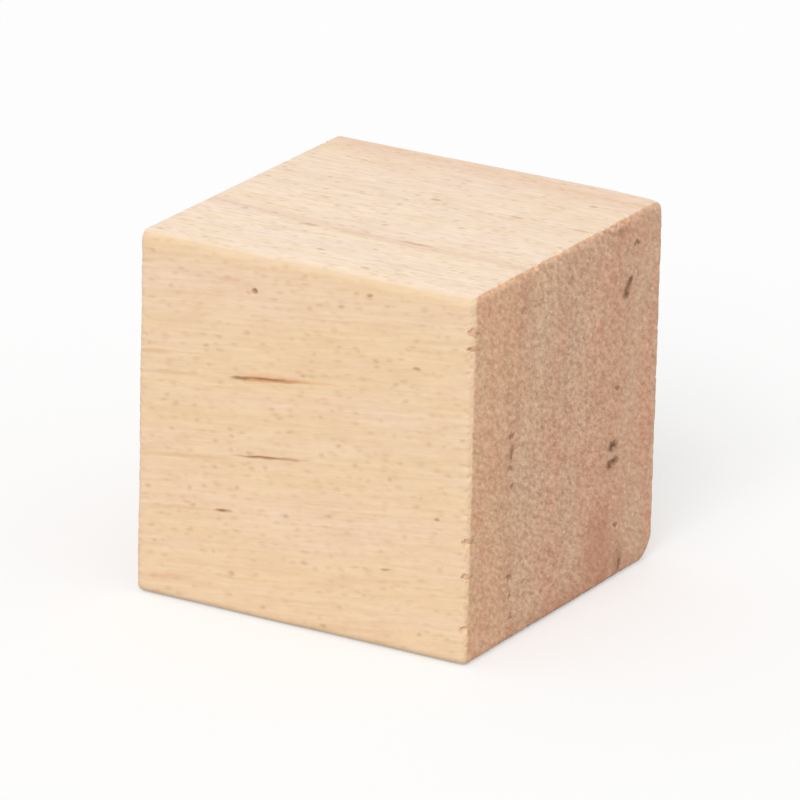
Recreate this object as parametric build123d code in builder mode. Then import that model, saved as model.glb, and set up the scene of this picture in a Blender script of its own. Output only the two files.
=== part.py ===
import os
from math import sqrt

from build123d import *

os.makedirs("parts", exist_ok=True)

# A craft cube in softwood, sawn from a planed square strip. One solid, sizes in mm.
# The grain runs along X, so the faces at +X and -X are sawn end grain.
# The front is -Y, and the origin is the middle of the base.

side = 40.0              # planed width and height, and sawn length

# Arrises, rubbed soft after sawing
grain_arris = 1.0        # radius of the four arrises that run along the grain
sawn_arris = 0.8         # radius of the arrises round each sawn end

# Knocked corners at the rear of the right end, where an arris opens out and dies away
low_knock = 3.0          # radius that the rear low arris has grown to at the sawn end
high_knock = 1.6         # the same at the rear top arris
knock_length = 6.0       # how far back along the grain they reach

# Notches left by splinters that lifted from the right end's arrises
notch_radius = 0.4       # half a notch's width at the sawn end
notch_length = 1.8       # how far it runs back along the grain
front_notch_drops = [3.8, 5.6, 26.4, 30.2, 35.9]   # below the top face, on the front arris
top_notch_setbacks = [6.2, 13.0, 17.6]             # behind the front face, on the top arris

# Pits in the right sawn end, where a few fibres pulled out
pit_width = 0.5
pit_depth = 0.4
pit_draft = 15.0         # degrees that a pit's walls close in by
pits = [
    # from the rear face, above the base, length, tilt in degrees
    (7.4, 32.2, 2.0, 63.0),
    (9.8, 15.2, 1.1, 10.0),
    (9.6, 13.4, 2.0, 11.0),
]

# Pin knot in the front face, fallen out of its hole
knot_radius = 0.35
knot_depth = 0.4
knot_left_of_middle = 6.0
knot_below_top = 4.2

half = side / 2
round_inset = sawn_arris * (1 - sqrt(0.5))   # from the sharp corner in to the middle of its round


def across_grain(x):
    """The plane square to the grain at x, with its origin on the cube's axis."""
    return Plane(origin=(x, 0, half), x_dir=(0, 1, 0), z_dir=(1, 0, 0))


with BuildPart() as cube:
    # The planed strip, up to where the knocks begin
    knock_start = half - knock_length
    with BuildSketch(across_grain(-half)):
        RectangleRounded(side, side, grain_arris)
    extrude(amount=knock_start + half)

    # The last stretch, where the two rear arrises open out
    with BuildSketch(across_grain(knock_start)):
        RectangleRounded(side, side, grain_arris)
    with BuildSketch(across_grain(half)) as right_end:
        Rectangle(side, side)
        fillet(right_end.vertices().group_by(Axis.X)[0], grain_arris)
        fillet(right_end.vertices().group_by(Axis.X)[-1].group_by(Axis.Y)[0], low_knock)
        fillet(right_end.vertices().group_by(Axis.X)[-1].group_by(Axis.Y)[-1], high_knock)
    loft()

    # Arrises round both sawn ends
    fillet(cube.faces().filter_by(Axis.X).edges(), sawn_arris)

    # Splinter notches, which run back from the sawn end and taper to nothing
    notches = [(half, round_inset - half, side - drop) for drop in front_notch_drops]
    notches += [(half, setback - half, side - round_inset) for setback in top_notch_setbacks]
    with Locations(*notches):
        Cone(
            notch_radius,
            0,
            notch_length,
            rotation=(0, -90, 0),
            align=(Align.CENTER, Align.CENTER, Align.MIN),
            mode=Mode.SUBTRACT,
        )

    # Pits in the end grain
    for from_rear, height, length, tilt in pits:
        with BuildSketch(across_grain(half)):
            with Locations((half - from_rear, height - half)):
                SlotOverall(length, pit_width, rotation=tilt)
        extrude(amount=-pit_depth, taper=pit_draft, mode=Mode.SUBTRACT)

    # Pin knot hole, a shallow cone
    with Locations((-knot_left_of_middle, -half, side - knot_below_top)):
        Cone(
            knot_radius,
            0,
            knot_depth,
            rotation=(-90, 0, 0),
            align=(Align.CENTER, Align.CENTER, Align.MIN),
            mode=Mode.SUBTRACT,
        )

cube.part.label = "cube"
export_step(cube.part, "parts/cube.step")
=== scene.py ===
from math import cos, radians, sin

import bmesh
import bpy
from mathutils import Euler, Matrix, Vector
from mathutils.bvhtree import BVHTree
from mathutils.kdtree import KDTree


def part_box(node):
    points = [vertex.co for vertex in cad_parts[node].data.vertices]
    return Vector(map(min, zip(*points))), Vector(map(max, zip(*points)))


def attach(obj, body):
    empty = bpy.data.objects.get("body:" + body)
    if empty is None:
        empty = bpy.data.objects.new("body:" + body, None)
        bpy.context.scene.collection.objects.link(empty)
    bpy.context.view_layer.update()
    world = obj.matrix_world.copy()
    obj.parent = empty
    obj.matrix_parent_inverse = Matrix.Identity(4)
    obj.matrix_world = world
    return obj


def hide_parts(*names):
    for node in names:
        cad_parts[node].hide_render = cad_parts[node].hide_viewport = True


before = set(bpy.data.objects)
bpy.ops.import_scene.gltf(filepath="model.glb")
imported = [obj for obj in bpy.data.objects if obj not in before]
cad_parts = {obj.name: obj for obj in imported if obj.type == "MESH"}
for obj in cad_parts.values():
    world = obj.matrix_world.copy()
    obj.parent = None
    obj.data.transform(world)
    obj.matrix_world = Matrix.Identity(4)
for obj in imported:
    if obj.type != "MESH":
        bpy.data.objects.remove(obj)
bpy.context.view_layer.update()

# A craft cube sawn from a planed pine strip. The grain runs along X, so the faces at +X and -X
# are sawn end grain. Meshes are in metres. Patterns are worked out in millimetres.

MM = 0.001
low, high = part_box("cube")
side = high.x - low.x
half = side / 2
middle = (low + high) / 2

# The block
grain_arris = 1.0 * MM      # radius of the arrises that run along the grain
sawn_arris = 0.8 * MM       # radius of the arrises round each sawn end
arris_steps = 5             # faces across an arris
mesh_step = 0.9 * MM        # spacing of the mesh on the planed faces
fine_margin = 2.4 * MM      # how far the finer mesh of a sawn end reaches along the grain
fine_cuts = 2               # cuts that it has in each step of the plain mesh
rim_width = 1.2 * MM        # width of the still finer mesh along the sawn arrises
carved_depth = 0.03 * MM    # the solid lies deeper than this in its pits, notches and knocks
carved_step = 0.16 * MM     # spacing of the mesh there
carved_rounds = 3           # how many times a face there may be cut in four
wrap_reach = 3.2 * MM       # how far the mesh may move onto the solid
knock_reach = 2.4 * MM      # how far the crowded mesh of a knocked corner reaches
knock_rounds = 40           # rounds of smoothing there
crease = radians(50)        # edges sharper than this stay sharp

# Depth of the relief, in mm
wave_depth = 0.08           # slow unevenness of the rubbed faces
cut_depth = 0.05            # hollows that the saw tore between the fibres
tear_depth = 0.12           # splinters torn from the sawn arrises
thread_depth = 0.03         # threads of sunken fibres, too fine for the mesh
stroke_depth = 0.08         # strokes of the saw, too fine for the mesh

# How the tree grew, in mm
grain_slope = radians(7.4)          # the fibres rise this much towards +X
pith = (0.0, 72.0, 14.0)            # the middle of the trunk, behind the rear face

# Tone of the yearly rings: (distance from the pith in mm, warmth of a sawn end, shade, paleness of a
# planed face). The tones go from 0 to 1.
ring_tones = [
    (50.0, 0.3, 0.0, 0.5), (53.4, 0.35, 0.0, 0.6), (54.3, 0.9, 0.5, 0.2), (55.6, 0.8, 0.1, 0.4),
    (56.6, 0.35, 0.1, 0.5), (59.0, 0.3, 0.2, 0.5), (60.2, 0.6, 0.4, 0.2), (61.4, 0.5, 0.4, 0.4),
    (63.2, 0.7, 0.4, 0.8), (65.2, 0.8, 0.4, 0.9), (68.4, 0.5, 0.2, 0.9), (70.4, 0.3, 0.2, 0.9),
    (72.4, 0.3, 0.4, 0.9), (74.0, 0.6, 0.3, 1.0), (76.4, 0.5, 0.2, 1.0), (78.0, 0.2, 0.0, 0.9),
    (82.0, 0.2, 0.1, 0.9), (84.2, 0.6, 0.6, 0.6), (85.4, 0.6, 0.1, 1.0), (86.5, 0.6, 0.0, 1.0),
    (92.0, 0.5, 0.0, 1.0), (96.0, 0.4, 0.0, 1.0),
]

# Marks in the front face, as groups of one colour and strength. Each is (x, z, half length, half
# width) in mm and lies along the fibres.
front_marks = [
    # resin that has soaked into the wood
    ("#eeae7c", 0.5, [(-4.6, 26.6, 3.6, 0.62), (-2.4, 26.9, 3.4, 0.42), (1.6, 27.3, 2.8, 0.2)]),
    ("#d9a478", 0.32, [
        (-13.5, 16.4, 6.5, 0.28), (-14.5, 10.6, 5.0, 0.26), (-16.0, 2.6, 3.6, 0.45),
        (-9.0, 36.6, 1.8, 0.3), (-17.8, 27.1, 2.6, 0.34), (-15.5, 25.2, 4.0, 0.26),
    ]),
    # cut resin canals
    ("#b88458", 0.65, [
        (-3.9, 26.6, 5.0, 0.28), (-3.9, 18.1, 4.8, 0.22), (-9.3, 11.25, 1.3, 0.26),
        (13.4, 31.2, 0.5, 0.22), (16.2, 15.5, 0.4, 0.24), (7.7, 38.0, 0.45, 0.2),
        (10.2, 8.8, 0.6, 0.18),
    ]),
    # the parts of them that lie open
    ("#93603a", 0.65, [
        (-7.4, 26.15, 1.4, 0.24), (-4.2, 26.6, 2.6, 0.13), (-4.6, 18.05, 2.4, 0.1),
        (-9.5, 11.2, 0.7, 0.16), (-6.0, 35.8, 0.4, 0.36),
    ]),
]

# Cut resin canals in the top face: (x, y, half length, half width)
top_marks = [
    ("#c19670", 0.5, [
        (6.2, -8.1, 2.2, 0.36), (-6.3, -8.7, 1.1, 0.45), (10.4, 5.4, 0.9, 0.36), (0.4, 5.8, 0.8, 0.4),
        (-1.1, -15.1, 0.6, 0.34), (5.7, -17.7, 0.6, 0.34), (18.0, 5.3, 1.6, 0.28),
        (15.2, 13.0, 0.6, 0.36),
    ]),
]

# Marks in the right sawn end and its arrises: (y, z, half length, half width, tilt in degrees)
end_marks = [
    # painted shade at the foot, darker towards the bottom of the end
    ("#b9785a", 0.36, [(7.5, 2.5, 4.6, 8.0, 0), (3.0, -0.5, 18.0, 3.4, 0)]),
    # bruised wood round the pits
    ("#ab7c60", 0.5, [
        (12.5, 32.2, 1.5, 1.1, 60), (10.2, 15.3, 1.4, 0.8, 5), (10.1, 13.4, 1.7, 0.9, 5),
        (12.0, 2.2, 2.0, 1.2, 80), (-10.0, 36.0, 0.9, 0.4, 0), (0.0, 36.4, 0.7, 0.5, 0),
        (10.8, 38.8, 1.2, 0.6, 0),
    ]),
    # open pits and torn fibres
    ("#76502f", 0.7, [
        (12.2, 31.7, 0.95, 0.75, 60), (13.0, 32.8, 0.85, 0.55, 60), (10.1, 15.3, 1.1, 0.5, 8),
        (9.7, 13.4, 0.85, 0.6, 5), (10.8, 13.6, 0.65, 0.5, 0), (14.1, 36.7, 0.7, 0.32, -10),
        (12.4, 1.4, 0.9, 0.4, 60),
    ]),
    # cut resin canals
    ("#8b5f40", 0.7, [
        (-11.7, 22.9, 0.7, 0.4, 10), (-11.5, 21.0, 1.05, 0.55, 80), (-11.6, 19.3, 0.7, 0.35, -10),
        (-11.2, 17.3, 0.5, 0.3, 20), (-11.2, 7.4, 0.6, 0.36, -20), (-11.0, 5.2, 0.5, 0.3, 60),
        (-10.6, 2.8, 0.55, 0.36, -10), (10.8, 21.6, 0.6, 0.25, -15), (11.3, 6.2, 0.7, 0.3, -10),
    ]),
    # torn fibres at the notches of the front right arris
    ("#a4775a", 0.5, [
        (-19.4, 36.0, 0.9, 0.22, -15), (-19.3, 34.3, 1.1, 0.22, -10), (-19.4, 13.6, 0.8, 0.24, -10),
        (-19.3, 9.8, 0.9, 0.24, 10),
    ]),
]

noise_low, noise_high = 0.3, 0.7    # noise seldom leaves this range
MIX_A, MIX_B, MIX_OUT = 6, 7, 2     # the colour sockets of a Mix node
MIX_NUMBER_A, MIX_NUMBER_B = 2, 3   # its number sockets


# Mesh of the block

def pick(obj, kind, test):
    """Selects, in edit mode, only the obj's verts, edges or faces that pass a test."""
    bpy.ops.mesh.select_mode(type={"verts": "VERT", "edges": "EDGE", "faces": "FACE"}[kind])
    bpy.ops.mesh.select_all(action="DESELECT")
    mesh = bmesh.from_edit_mesh(obj.data)
    for item in getattr(mesh, kind):
        if test(item):
            item.select_set(True)
    bmesh.update_edit_mesh(obj.data)


def runs_along(edge, axis):
    """Whether an edge runs along the X, Y or Z axis, as 0, 1 or 2."""
    run = edge.verts[1].co - edge.verts[0].co
    return abs(run[axis]) > 0.99 * run.length


def below_end(place):
    """How deep a place lies below the nearer sawn end."""
    return half - abs(place.x)


def below_planed(place):
    """How deep a place lies below the nearest planed face."""
    return half - max(abs(place.y), abs(place.z - half))


def apply_modifier(obj, kind, **settings):
    """Gives the obj a modifier with its settings and applies it."""
    modifier = obj.modifiers.new(kind.lower(), kind)
    for name, value in settings.items():
        setattr(modifier, name, value)
    bpy.ops.object.modifier_apply(modifier=modifier.name)


def rounded_block():
    """The sawn length of strip, with its arrises rubbed round."""
    bpy.ops.object.select_all(action="DESELECT")
    bpy.ops.mesh.primitive_cube_add(size=side, location=middle)
    block = bpy.context.object
    block.name = block.data.name = "pine_block"
    bpy.ops.object.transform_apply(location=True)
    bpy.ops.object.mode_set(mode="EDIT")
    bpy.ops.mesh.select_all(action="SELECT")
    bpy.ops.transform.edge_bevelweight(value=1)
    pick(block, "edges", lambda edge: not runs_along(edge, 0))
    bpy.ops.transform.edge_bevelweight(value=sawn_arris / grain_arris - 1)
    bpy.ops.object.mode_set(mode="OBJECT")
    apply_modifier(block, "BEVEL", width=grain_arris, segments=arris_steps, limit_method="WEIGHT")
    return block


def cut_grid(block):
    """Cuts the block's faces into a grid, finer at the sawn ends and finer still along their arrises."""
    bpy.ops.object.mode_set(mode="EDIT")
    for axis in range(3):
        pick(block, "edges", lambda edge: edge.calc_length() > half and runs_along(edge, axis))
        bpy.ops.mesh.subdivide(number_cuts=round(side / mesh_step) - 1)
    pick(block, "faces", lambda face: below_end(face.calc_center_median()) < fine_margin)
    bpy.ops.mesh.subdivide(number_cuts=fine_cuts, ngon=False)

    def is_along_rim(edge):
        place = (edge.verts[0].co + edge.verts[1].co) / 2
        is_across_grain = runs_along(edge, 1) or runs_along(edge, 2)
        is_long = edge.calc_length() > mesh_step / 4
        return max(below_end(place), below_planed(place)) < rim_width and is_across_grain and is_long

    pick(block, "edges", is_along_rim)
    bpy.ops.mesh.subdivide(number_cuts=1, ngon=False)
    bpy.ops.object.mode_set(mode="OBJECT")


def refine_carved(block, solid):
    """Makes the mesh finer wherever the solid leaves the plain block: in its pits, notches and knocks."""
    surface = BVHTree.FromObject(block, bpy.context.evaluated_depsgraph_get())
    carved = [
        vertex.co for vertex in solid.data.vertices if surface.find_nearest(vertex.co)[3] > carved_depth
    ]
    places = KDTree(len(carved))
    for index, place in enumerate(carved):
        places.insert(place, index)
    places.balance()

    def is_coarse_and_carved(face):
        width = face.calc_area() ** 0.5
        return width > carved_step and places.find(face.calc_center_median())[2] < width

    bpy.ops.object.mode_set(mode="EDIT")
    for _ in range(carved_rounds):
        pick(block, "faces", is_coarse_and_carved)
        bpy.ops.mesh.subdivide(number_cuts=1, ngon=False)
    bpy.ops.object.mode_set(mode="OBJECT")


def relax_knocks(block):
    """Evens out the mesh at the knocked rear corners of the right end, which the wrap crowds together."""
    bpy.ops.object.mode_set(mode="EDIT")
    start = half - knock_reach
    pick(block, "verts", lambda vertex: (
        vertex.co.x > start and vertex.co.y > start and abs(vertex.co.z - half) > start))
    bpy.ops.mesh.vertices_smooth(factor=0.5, repeat=knock_rounds)
    bpy.ops.object.mode_set(mode="OBJECT")


# Patterns, for the relief and the colours

def add(tree, kind, inputs=(), **settings):
    """Adds a node with its settings to a tree, and fills its inputs with values or links."""
    node = tree.nodes.new(kind)
    for name, value in settings.items():
        setattr(node, name, value)
    for key, value in dict(inputs).items():
        if isinstance(value, bpy.types.NodeSocket):
            tree.links.new(value, node.inputs[key])
        else:
            node.inputs[key].default_value = value
    return node


def from_middle(tree, place):
    """How far a place is from the middle of the cube along X, Y and Z, in mm."""
    centred = add(tree, "ShaderNodeVectorMath", {0: place, 1: middle / MM}, operation="SUBTRACT")
    outward = add(tree, "ShaderNodeVectorMath", {0: centred.outputs[0]}, operation="ABSOLUTE")
    return add(tree, "ShaderNodeSeparateXYZ", {0: outward.outputs[0]}).outputs


def near_face(tree, distance, start, end):
    """Goes from 0 to 1 towards a face. start and end are depths below the face in mm, and distance is
    how far the place is from the middle of the cube."""
    return add(
        tree, "ShaderNodeMapRange",
        {"Value": distance, "From Min": half / MM - start, "From Max": half / MM - end},
        interpolation_type="SMOOTHSTEP",
    ).outputs["Result"]


def patches(tree, place, width, detail, roughness, pace=(1.0, 1.0, 1.0)):
    """Uneven patches of a width in mm. pace is how fast they change along X, Y and Z, so that 0.1 makes
    them ten times as long."""
    drawn_out = add(tree, "ShaderNodeVectorMath", {0: place, 1: pace}, operation="MULTIPLY")
    return add(
        tree, "ShaderNodeTexNoise",
        {"Vector": drawn_out.outputs[0], "Scale": 1 / width, "Detail": detail, "Roughness": roughness},
    )


def specks(tree, place, spacing, radius, pace=1.0):
    """Scattered specks of uneven strength that fade out to their radius. spacing and radius are in mm.
    A pace under 1 makes them longer along the fibres."""
    drawn_out = add(tree, "ShaderNodeVectorMath", {0: place, 1: (pace, 1.0, 1.0)}, operation="MULTIPLY")
    cells = add(
        tree, "ShaderNodeTexVoronoi", {"Vector": drawn_out.outputs[0], "Scale": 1 / spacing}, feature="F1"
    )
    shape = add(
        tree, "ShaderNodeMapRange",
        {"Value": cells.outputs["Distance"], "From Min": radius / spacing, "From Max": 0.0},
        interpolation_type="SMOOTHSTEP",
    )
    chance = add(tree, "ShaderNodeSeparateColor", {0: cells.outputs["Color"]})
    return add(
        tree, "ShaderNodeMath", {0: shape.outputs[0], 1: chance.outputs[0]}, operation="MULTIPLY"
    ).outputs[0]


def saw_strokes(tree, place, width, detail):
    """The strokes a saw leaves in cut fibre ends: twice as long as wide, leaning down to the rear. A
    fibre is 0.04 mm wide, too fine to show, so the strokes are tufts of them, at most width mm wide."""
    lean = radians(28)
    turned = add(tree, "ShaderNodeVectorRotate", {"Vector": place, "Angle": lean}, rotation_type="X_AXIS")
    # the noise goes up and down once in the width of two strokes
    return patches(
        tree, turned.outputs[0], width=2 * width, detail=detail, roughness=0.75, pace=(0.25, 0.45, 1.0)
    ).outputs[0]


# Relief

def slow_unevenness(tree, place):
    """How deep the rubbed faces dip, in mm, in waves 18 mm across."""
    waves = patches(tree, place, width=18.0, detail=1.0, roughness=0.5)
    return add(
        tree, "ShaderNodeMapRange",
        {"Value": waves.outputs[0], "From Min": noise_low, "From Max": noise_high, "To Max": wave_depth},
    ).outputs[0]


def cut_fibres(tree, place, distance):
    """How deep the saw tore between the fibres of the sawn ends, in mm."""
    strokes = saw_strokes(tree, place, width=0.38, detail=0.0)
    cut = add(
        tree, "ShaderNodeMapRange",
        {"Value": strokes, "From Min": noise_high, "From Max": noise_low, "To Max": cut_depth},
    )
    on_end = near_face(tree, distance["X"], start=0.5, end=0.1)
    return add(tree, "ShaderNodeMath", {0: cut.outputs[0], 1: on_end}, operation="MULTIPLY").outputs[0]


def torn_splinters(tree, place, distance):
    """How deep splinters were torn, along the grain, from the sawn arrises, in mm."""
    splinters = patches(tree, place, width=0.5, detail=1.0, roughness=0.6, pace=(0.35, 1.0, 1.0))
    tear = add(
        tree, "ShaderNodeMapRange",
        {"Value": splinters.outputs[0], "From Min": 0.5, "From Max": 0.72, "To Max": tear_depth},
        interpolation_type="SMOOTHSTEP",
    )
    outmost = add(tree, "ShaderNodeMath", {0: distance["Y"], 1: distance["Z"]}, operation="MAXIMUM")
    near_end = near_face(tree, distance["X"], start=1.3, end=0.4)
    near_planed = near_face(tree, outmost.outputs[0], start=0.9, end=0.3)
    on_rim = add(tree, "ShaderNodeMath", {0: near_end, 1: near_planed}, operation="MULTIPLY")
    return add(
        tree, "ShaderNodeMath", {0: tear.outputs[0], 1: on_rim.outputs[0]}, operation="MULTIPLY"
    ).outputs[0]


def relief_nodes():
    """Geometry nodes that press the face of the wood in."""
    tree = bpy.data.node_groups.new("relief", "GeometryNodeTree")
    tree.interface.new_socket("Geometry", in_out="INPUT", socket_type="NodeSocketGeometry")
    tree.interface.new_socket("Geometry", in_out="OUTPUT", socket_type="NodeSocketGeometry")
    start = add(tree, "NodeGroupInput")
    metres = add(tree, "GeometryNodeInputPosition")
    place = add(
        tree, "ShaderNodeVectorMath", {0: metres.outputs[0], "Scale": 1 / MM}, operation="SCALE"
    ).outputs[0]
    distance = from_middle(tree, place)
    depth = slow_unevenness(tree, place)
    for more in (cut_fibres(tree, place, distance), torn_splinters(tree, place, distance)):
        depth = add(tree, "ShaderNodeMath", {0: depth, 1: more}, operation="ADD").outputs[0]
    inward = add(tree, "ShaderNodeMath", {0: depth, 1: -MM}, operation="MULTIPLY")
    normal = add(tree, "GeometryNodeInputNormal")
    push = add(
        tree, "ShaderNodeVectorMath", {0: normal.outputs[0], "Scale": inward.outputs[0]}, operation="SCALE"
    )
    moved = add(tree, "GeometryNodeSetPosition", {"Geometry": start.outputs[0], "Offset": push.outputs[0]})
    add(tree, "NodeGroupOutput", {0: moved.outputs[0]})
    return tree


# Wood

def linear(hex_colour):
    """An sRGB hex colour as linear RGBA."""
    parts = [int(hex_colour[place:place + 2], 16) / 255 for place in (1, 3, 5)]
    return [part / 12.92 if part <= 0.04045 else ((part + 0.055) / 1.055) ** 2.4 for part in parts] + [1]


def tinted(tree, colour, tints):
    """Lays tints over a colour. Each is how much of it there is, from 0 to 1, its strength and its hue.
    The colours are hex colours or links."""
    for amount, strength, hue in tints:
        share = add(tree, "ShaderNodeMath", {0: amount, 1: strength}, operation="MULTIPLY")
        below, above = [linear(tone) if isinstance(tone, str) else tone for tone in (colour, hue)]
        mixed = add(
            tree, "ShaderNodeMix", {0: share.outputs[0], MIX_A: below, MIX_B: above}, data_type="RGBA"
        )
        colour = mixed.outputs[MIX_OUT]
    return colour


def trunk_space(tree, place):
    """A place as seen from the pith, with X along the fibres, in mm."""
    from_pith = add(tree, "ShaderNodeVectorMath", {0: place, 1: pith}, operation="SUBTRACT")
    return add(
        tree, "ShaderNodeVectorRotate", {"Vector": from_pith.outputs[0], "Angle": grain_slope},
        rotation_type="Y_AXIS",
    ).outputs[0]


def ring_tone(tree, trunk):
    """The three tones of the wood in its yearly ring, and the distance from the pith in mm. The rings
    sway a little, over about 9 mm."""
    most = 2.5              # how far they could sway, in mm
    sway = patches(tree, trunk, width=9.0, detail=3.0, roughness=0.6, pace=(0.3, 1.0, 1.0))
    shift = add(tree, "ShaderNodeMapRange", {"Value": sway.outputs[0], "To Min": -most, "To Max": most})
    across = add(tree, "ShaderNodeVectorMath", {0: trunk, 1: (0.0, 1.0, 1.0)}, operation="MULTIPLY")
    radius = add(tree, "ShaderNodeVectorMath", {0: across.outputs[0]}, operation="LENGTH")
    swayed = add(tree, "ShaderNodeMath", {0: radius.outputs["Value"], 1: shift.outputs[0]}, operation="ADD")
    first, last = ring_tones[0][0], ring_tones[-1][0]
    along = add(
        tree, "ShaderNodeMapRange", {"Value": swayed.outputs[0], "From Min": first, "From Max": last}
    )
    ramp = add(tree, "ShaderNodeValToRGB", {0: along.outputs[0]})
    ramp.color_ramp.interpolation = "EASE"
    stops = ramp.color_ramp.elements
    while len(stops) < len(ring_tones):
        stops.new(1.0)
    for stop, (distance, *tone) in zip(stops, ring_tones):
        stop.position = (distance - first) / (last - first)
        stop.color = (*tone, 1)
    tones = add(tree, "ShaderNodeSeparateColor", {0: ramp.outputs["Color"]})
    return *tones.outputs[:3], swayed.outputs[0]


def planed_ground(tree, trunk, past_corner):
    """Peach where the rings lie flat, at the front and back, and pinkish cream where they stand upright, at
    the top and base. The cream is partly the tone of that cut and partly painted sheen, the whitish
    reflection that the top gives at a glancing view. Both drift between yellow and pink along the grain, in
    bands 3 mm wide."""
    drift = patches(tree, trunk, width=3.0, detail=3.0, roughness=0.6, pace=(0.1, 1.0, 1.0))
    pinkness = add(
        tree, "ShaderNodeMapRange",
        {"Value": drift.outputs[0], "From Min": noise_low, "From Max": noise_high},
    ).outputs[0]
    flat_sawn = tinted(tree, "#f3d4aa", [(pinkness, 1.0, "#f5d6b8")])
    # the cream is partly the tone of wood cut across its rings and partly painted sheen, the whitish
    # glancing reflection of the top
    quarter_sawn_and_sheen = tinted(tree, "#fee8cb", [(pinkness, 1.0, "#ffead8")])
    is_quarter_and_sheen = add(
        tree, "ShaderNodeMapRange", {"Value": past_corner, "From Min": -0.2, "From Max": 0.2},
        interpolation_type="SMOOTHSTEP",
    )
    return tinted(tree, flat_sawn, [(is_quarter_and_sheen.outputs[0], 1.0, quarter_sawn_and_sheen)])


def planed_wood(tree, distance, trunk, shade, paleness):
    """The planed faces, and the height of their fibres. The grain is drawn coarser than it is: a fibre
    is 0.04 mm wide and a cut resin canal 0.2 mm, and both are too fine to show."""
    past_corner = add(
        tree, "ShaderNodeMath", {0: distance["Z"], 1: distance["Y"]}, operation="SUBTRACT"
    ).outputs[0]
    ground = planed_ground(tree, trunk, past_corner)
    dull = add(tree, "ShaderNodeMath", {0: 1.0, 1: paleness}, operation="SUBTRACT")
    mottle = patches(tree, trunk, width=1.1, detail=2.0, roughness=0.7, pace=(0.4, 1.0, 1.0))
    mottled = add(
        tree, "ShaderNodeMapRange", {"Value": mottle.outputs[0], "From Min": 0.45, "From Max": 0.75}
    )
    threads = patches(
        tree, trunk, width=0.5, detail=2.0, roughness=0.7, pace=(0.06, 1.0, 1.0)
    ).outputs[0]
    sunken = add(tree, "ShaderNodeMapRange", {"Value": threads, "From Min": 0.35, "From Max": 0.7})
    # painted shade on the arrises between two planed faces, dimming the highlight that the lamp puts on them
    off_corner = add(tree, "ShaderNodeMath", {0: past_corner}, operation="ABSOLUTE")
    arris_shade = add(
        tree, "ShaderNodeMapRange", {"Value": off_corner.outputs[0], "From Min": 0.9, "From Max": 0.2},
        interpolation_type="SMOOTHSTEP",
    )
    dashes = specks(tree, trunk, spacing=0.7, radius=0.36, pace=0.45)
    dots = specks(tree, trunk, spacing=1.2, radius=0.38, pace=0.65)
    colour = tinted(tree, ground, [
        (dull.outputs[0], 0.45, "#eab994"),         # warmer rings
        (shade, 0.22, "#c2966a"),                   # dark edges of rings
        (mottled.outputs[0], 0.15, "#d8a47e"),      # soft mottling
        (sunken.outputs[0], 0.24, "#cb9f72"),       # threads of sunken fibres
        (dashes, 0.28, "#b98850"),                  # cut cells
        (dots, 0.38, "#aa7a48"),                    # fine resin canals
        (arris_shade.outputs[0], 0.5, "#e4caaa"),        # painted shade on the arris
    ])
    return colour, threads


def sawn_wood(tree, place, trunk, warmth, shade, radius):
    """The sawn ends, and the height of their fibres. Torn hollows between the cut fibres are darker and the
    raised fibre tips lighter, partly in the end grain's own tone and partly as painted shade in the hollows
    and a painted highlight on the tips."""
    strokes = saw_strokes(tree, place, width=0.22, detail=2.0)
    # blotches 3 mm wide and twice as long break up the rings
    blotch = patches(tree, place, width=3.0, detail=3.0, roughness=0.65, pace=(1.0, 1.0, 0.5))
    most = 0.35             # how much a blotch adds to the warmth or takes from it
    blotched = add(tree, "ShaderNodeMapRange", {
        "Value": blotch.outputs[0], "From Min": noise_low, "From Max": noise_high,
        "To Min": -most, "To Max": most,
    })
    warmer = add(
        tree, "ShaderNodeMath", {0: warmth, 1: blotched.outputs[0]}, operation="ADD", use_clamp=True
    ).outputs[0]
    # the fibres lie calmer towards the rear, nearer the pith
    calmness = add(
        tree, "ShaderNodeMapRange",
        {"Value": radius, "From Min": 58.0, "From Max": 68.0, "To Min": 0.31, "To Max": 0.24},
    )
    dark_end = add(tree, "ShaderNodeMath", {0: 0.5, 1: calmness.outputs[0]}, operation="SUBTRACT")
    light_end = add(tree, "ShaderNodeMath", {0: 0.5, 1: calmness.outputs[0]}, operation="ADD")
    proud_and_lit_share = add(
        tree, "ShaderNodeMapRange",
        {"Value": strokes, "From Min": dark_end.outputs[0], "From Max": light_end.outputs[0]},
    )
    # the colour of the torn hollows carries painted shade and the colour of the raised tips a painted
    # highlight, over the end grain's own tone
    torn = tinted(tree, "#c09475", [(warmer, 1.0, "#c68868")])
    proud_and_lit = tinted(tree, "#fad7b4", [(warmer, 1.0, "#fecaa6")])
    golden = add(tree, "ShaderNodeMapRange", {"Value": radius, "From Min": 76.0, "From Max": 90.0})
    bright = specks(tree, place, spacing=1.0, radius=0.36)
    gaps = specks(tree, trunk, spacing=1.0, radius=0.36)
    colour = tinted(tree, torn, [
        (proud_and_lit_share.outputs[0], 1.0, proud_and_lit),
        (golden.outputs[0], 0.2, "#f8c68e"),        # golden outer rings
        (shade, 0.22, "#a5826a"),                   # dark edges of rings
        (bright, 0.6, "#ffdfc6"),                   # a few bright cut fibres
        (gaps, 0.4, "#94674b"),                     # dark gaps between them
    ])
    return colour, strokes


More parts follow.
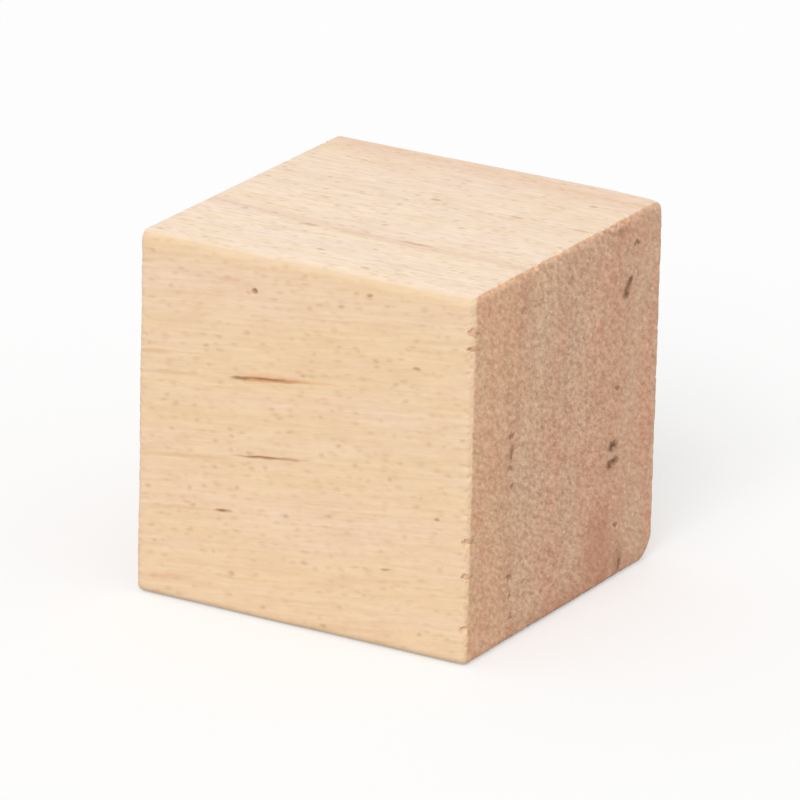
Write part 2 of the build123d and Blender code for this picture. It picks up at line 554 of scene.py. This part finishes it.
def sawn_share(tree, exact, distance):
    """Goes from 0 on the planed faces to 1 on the sawn ends, past a ragged line."""
    outside = 0.4           # how far outside the middle of an upright arris the line runs, in mm
    inside = 0.25           # how far inside the middle of a level arris it runs, in mm
    most = 0.4              # how far it could stray, in mm
    blur = 0.15             # half the width of its soft edge, in mm
    ragged = patches(tree, exact, width=0.8, detail=3.0, roughness=0.7)
    shift = add(tree, "ShaderNodeMapRange", {"Value": ragged.outputs[0], "To Min": -most, "To Max": most})
    upright = add(tree, "ShaderNodeMath", {0: distance["Y"], 1: outside}, operation="ADD")
    level = add(tree, "ShaderNodeMath", {0: distance["Z"], 1: inside}, operation="SUBTRACT")
    outmost = add(tree, "ShaderNodeMath", {0: upright.outputs[0], 1: level.outputs[0]}, operation="MAXIMUM")
    past = add(tree, "ShaderNodeMath", {0: distance["X"], 1: outmost.outputs[0]}, operation="SUBTRACT")
    past = add(tree, "ShaderNodeMath", {0: past.outputs[0], 1: shift.outputs[0]}, operation="ADD")
    return add(
        tree, "ShaderNodeMapRange", {"Value": past.outputs[0], "From Min": -blur, "From Max": blur},
        interpolation_type="SMOOTHSTEP",
    ).outputs[0]


def with_marks(tree, place, colour, groups, frame_of):
    """Lays groups of marks over a colour. frame_of turns a mark into its centre, half sizes and turn. A
    mark is full within 0.4 of its size and has faded out at 1.2 times its size."""
    for hue, strength, marks in groups:
        nearest = None
        for mark in marks:
            centre, size, turn = frame_of(*mark)
            there = add(
                tree, "ShaderNodeMapping",
                {"Vector": place, "Location": centre, "Rotation": turn, "Scale": size},
                vector_type="TEXTURE",
            )
            length = add(tree, "ShaderNodeVectorMath", {0: there.outputs[0]}, operation="LENGTH")
            far = length.outputs["Value"]
            if nearest:
                far = add(tree, "ShaderNodeMath", {0: nearest, 1: far}, operation="MINIMUM").outputs[0]
            nearest = far
        amount = add(
            tree, "ShaderNodeMapRange", {"Value": nearest, "From Min": 1.2, "From Max": 0.4},
            interpolation_type="SMOOTHSTEP",
        )
        colour = tinted(tree, colour, [(amount.outputs[0], strength, hue)])
    return colour


def all_marks(tree, place, ragged_place, colour):
    """The marks of the front, the top and the right sawn end."""
    front, top, end = low.y / MM, high.z / MM, high.x / MM
    skin = 1.0              # how deep a mark reaches into the wood, in mm
    colour = with_marks(
        tree, place, colour, front_marks,
        lambda x, z, length, width: ((x, front, z), (length, skin, width), (0, -grain_slope, 0)),
    )
    colour = with_marks(
        tree, place, colour, top_marks,
        lambda x, y, length, width: ((x, y, top), (length, width, skin), (0, 0, 0)),
    )
    return with_marks(
        tree, ragged_place, colour, end_marks,
        lambda y, z, length, width, tilt: ((end, y, z), (skin, length, width), (radians(tilt), 0, 0)),
    )


def fibre_relief(tree, is_sawn, threads, strokes):
    """The relief of the fibres that is too fine for the mesh."""
    low_relief = add(tree, "ShaderNodeMath", {0: threads, 1: thread_depth}, operation="MULTIPLY")
    high_relief = add(tree, "ShaderNodeMath", {0: strokes, 1: stroke_depth}, operation="MULTIPLY")
    height = add(
        tree, "ShaderNodeMix",
        {0: is_sawn, MIX_NUMBER_A: low_relief.outputs[0], MIX_NUMBER_B: high_relief.outputs[0]},
        data_type="FLOAT",
    )
    return add(
        tree, "ShaderNodeBump", {"Height": height.outputs[0], "Strength": 1.0, "Distance": MM}
    ).outputs[0]


def pine():
    """Pine as planed, sanded and sawn, with no lacquer: matt and pale, and darker and sandy where the
    saw cut across the fibres."""
    material = bpy.data.materials.new("sawn_pine")
    material.use_nodes = True
    tree = material.node_tree
    tree.nodes.clear()
    coordinates = add(tree, "ShaderNodeTexCoord")
    exact = add(
        tree, "ShaderNodeVectorMath", {0: coordinates.outputs["Object"], "Scale": 1 / MM}, operation="SCALE"
    ).outputs[0]
    # Marks and specks get uneven edges from a shift of about 0.1 mm, and the marks of the sawn end
    # from three times that.
    unrest = patches(tree, exact, width=0.6, detail=1.0, roughness=0.5, pace=(0.4, 1.0, 1.0))
    shift = add(
        tree, "ShaderNodeVectorMath", {0: unrest.outputs["Color"], 1: (0.5, 0.5, 0.5)}, operation="SUBTRACT"
    )
    place, ragged_place = [
        add(
            tree, "ShaderNodeVectorMath", {0: shift.outputs[0], 1: (reach, reach, reach), 2: exact},
            operation="MULTIPLY_ADD",
        ).outputs[0]
        for reach in (0.3, 0.9)
    ]
    distance = from_middle(tree, exact)
    trunk = trunk_space(tree, place)
    warmth, shade, paleness, radius = ring_tone(tree, trunk)
    planed, threads = planed_wood(tree, distance, trunk, shade, paleness)
    sawn, strokes = sawn_wood(tree, place, trunk, warmth, shade, radius)
    is_sawn = sawn_share(tree, exact, distance)
    colour = tinted(tree, planed, [(is_sawn, 1.0, sawn)])
    wood = add(tree, "ShaderNodeBsdfPrincipled", {
        "Base Color": all_marks(tree, place, ragged_place, colour),
        "Roughness": 0.72,      # bare wood, rubbed but not polished
        "Normal": fibre_relief(tree, is_sawn, threads, strokes),
    })
    add(tree, "ShaderNodeOutputMaterial", {"Surface": wood.outputs[0]})
    return material


def pine_block(solid):
    """The block, wrapped onto the solid and given the relief and colours of its wood."""
    block = rounded_block()
    cut_grid(block)
    refine_carved(block, solid)
    bpy.ops.object.select_all(action="DESELECT")
    block.select_set(True)
    bpy.context.view_layer.objects.active = block
    apply_modifier(
        block, "SHRINKWRAP", target=solid, wrap_method="PROJECT", project_limit=wrap_reach,
        use_negative_direction=True, use_positive_direction=False, cull_face="BACK",
    )
    relax_knocks(block)
    apply_modifier(block, "NODES", node_group=relief_nodes())
    apply_modifier(block, "SHRINKWRAP", target=solid, wrap_method="NEAREST_SURFACEPOINT", wrap_mode="INSIDE")
    bpy.ops.object.shade_smooth_by_angle(angle=crease)
    block.data.materials.append(pine())
    return block


# Floor, light and camera

def seen(tree):
    """1 along rays from the camera, off a gloss or through glass, and 0 along rays that light the cube."""
    path = add(tree, "ShaderNodeLightPath")
    share = path.outputs["Is Camera Ray"]
    for kind in ("Is Glossy Ray", "Is Transmission Ray"):
        share = add(
            tree, "ShaderNodeMath", {0: share, 1: path.outputs[kind]}, operation="MAXIMUM"
        ).outputs[0]
    return share


def paper_floor():
    """A large sheet of paper. It takes shadows as matt grey paper does, and is lifted to white where it
    is seen."""
    paper_side = 4          # m
    grey, white = 0.6, 1.0
    bpy.ops.object.select_all(action="DESELECT")
    bpy.ops.mesh.primitive_plane_add(size=paper_side)
    floor = bpy.context.object
    floor.name = "floor"
    material = bpy.data.materials.new("white_paper")
    material.use_nodes = True
    tree = material.node_tree
    tree.nodes.clear()
    paper = add(tree, "ShaderNodeBsdfDiffuse", {"Color": (grey, grey, grey, 1)})
    lift = add(tree, "ShaderNodeMath", {0: seen(tree), 1: white - grey}, operation="MULTIPLY")
    glow = add(tree, "ShaderNodeEmission", {"Color": (1, 1, 1, 1), "Strength": lift.outputs[0]})
    both = add(tree, "ShaderNodeAddShader", {0: paper.outputs[0], 1: glow.outputs[0]})
    add(tree, "ShaderNodeOutputMaterial", {"Surface": both.outputs[0]})
    floor.data.materials.append(material)
    return floor


def white_sky():
    """White all round where it is seen, and dimmer as a light, so that pale wood keeps its colour."""
    dim, white = 0.71, 1.0
    sky = bpy.data.worlds.new("studio")
    bpy.context.scene.world = sky
    sky.use_nodes = True
    tree = sky.node_tree
    tree.nodes.clear()
    strength = add(tree, "ShaderNodeMapRange", {"Value": seen(tree), "To Min": dim, "To Max": white})
    light = add(tree, "ShaderNodeBackground", {"Color": (1, 1, 1, 1), "Strength": strength.outputs[0]})
    add(tree, "ShaderNodeOutputWorld", {"Surface": light.outputs[0]})


def aimed_at(place, target, roll=0):
    """The turn that points a camera or lamp at a target."""
    return (target - place).to_track_quat("-Z", "Y") @ Euler((0, 0, roll)).to_quaternion()


def from_angle(azimuth, elevation, distance):
    """The place at that distance from the middle of the cube, in m and degrees. Azimuth 0 is in front
    and 90 on the right."""
    azimuth, elevation = radians(azimuth), radians(elevation)
    level = distance * cos(elevation)
    return middle + Vector((level * sin(azimuth), -level * cos(azimuth), distance * sin(elevation)))


def soft_lamp():
    """A wide lamp above the front, a little to the right."""
    place = from_angle(azimuth=12, elevation=38, distance=1.2)
    bpy.ops.object.light_add(type="SUN", location=place, rotation=aimed_at(place, middle).to_euler())
    lamp = bpy.context.object.data
    lamp.angle = radians(35)
    lamp.energy = 1.36


def camera():
    """The photograph's view, from the front right, with a narrow lens."""
    picture_width, focal_length = 800, 8300     # in pixels
    sensor_width = 36                           # mm
    drop = 0.56 * MM                            # how far under the middle of the cube it looks
    roll = radians(1.4)                         # how far it leans
    eye = from_angle(azimuth=30.0, elevation=19.3, distance=0.869)
    up = aimed_at(eye, middle) @ Vector((0, 1, 0))
    target = middle - up * drop
    bpy.ops.object.camera_add(location=eye, rotation=aimed_at(eye, target, roll).to_euler())
    lens = bpy.context.object.data
    lens.sensor_width = sensor_width
    lens.lens = focal_length * sensor_width / picture_width
    return bpy.context.object


block = pine_block(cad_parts["cube"])
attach(block, "root")
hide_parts("cube")
paper_floor()
white_sky()
soft_lamp()
bpy.context.scene.camera = camera()
bpy.context.scene.view_settings.view_transform = "Standard"
